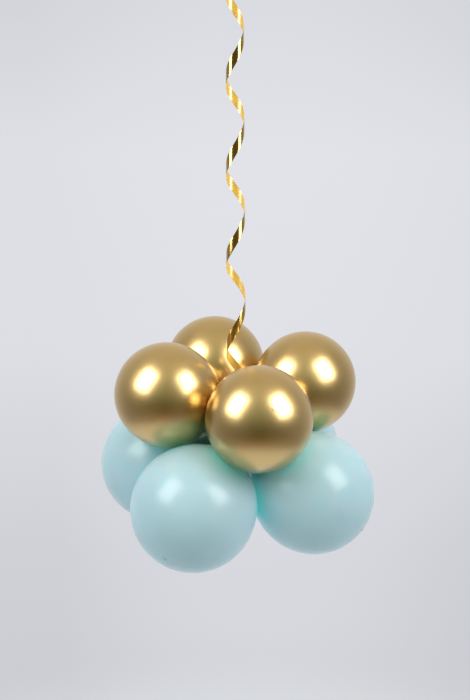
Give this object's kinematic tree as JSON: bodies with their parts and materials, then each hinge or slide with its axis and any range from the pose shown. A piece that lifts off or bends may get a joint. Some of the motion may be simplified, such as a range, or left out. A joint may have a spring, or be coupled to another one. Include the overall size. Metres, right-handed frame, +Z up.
{
  "type": "balloon cluster",
  "caption": "Hanging cluster of round chrome gold and pastel mint latex balloons, tied at one centre to a curled metallic ribbon with a hanging loop.",
  "frame": {"origin": "inside the top of the hanging loop, where a hook bears on the ribbon", "axes": "+Z up along the ribbon; front at -Y; the gold balloons lie near the X and Y axes and the mint ones near the diagonals"},
  "size_m": [0.2625, 0.2582, 0.6172],
  "materials": {
    "gold_latex": "satin chrome",
    "mint_latex": "semi-matte pastel",
    "gold_ribbon": "metallic foil"
  },
  "bodies": {
    "root": {"gold_balloon_front": "gold_latex", "gold_balloon_right": "gold_latex", "gold_balloon_back": "gold_latex", "gold_balloon_left": "gold_latex", "mint_balloon_front_left": "mint_latex", "mint_balloon_front_right": "mint_latex", "mint_balloon_back_right": "mint_latex", "mint_balloon_back_left": "mint_latex", "ribbon_tie": "gold_ribbon", "ribbon_lower_run": "gold_ribbon", "ribbon_curl": "gold_ribbon", "ribbon_hanging_loop": "gold_ribbon"}
  },
  "joints": []
}
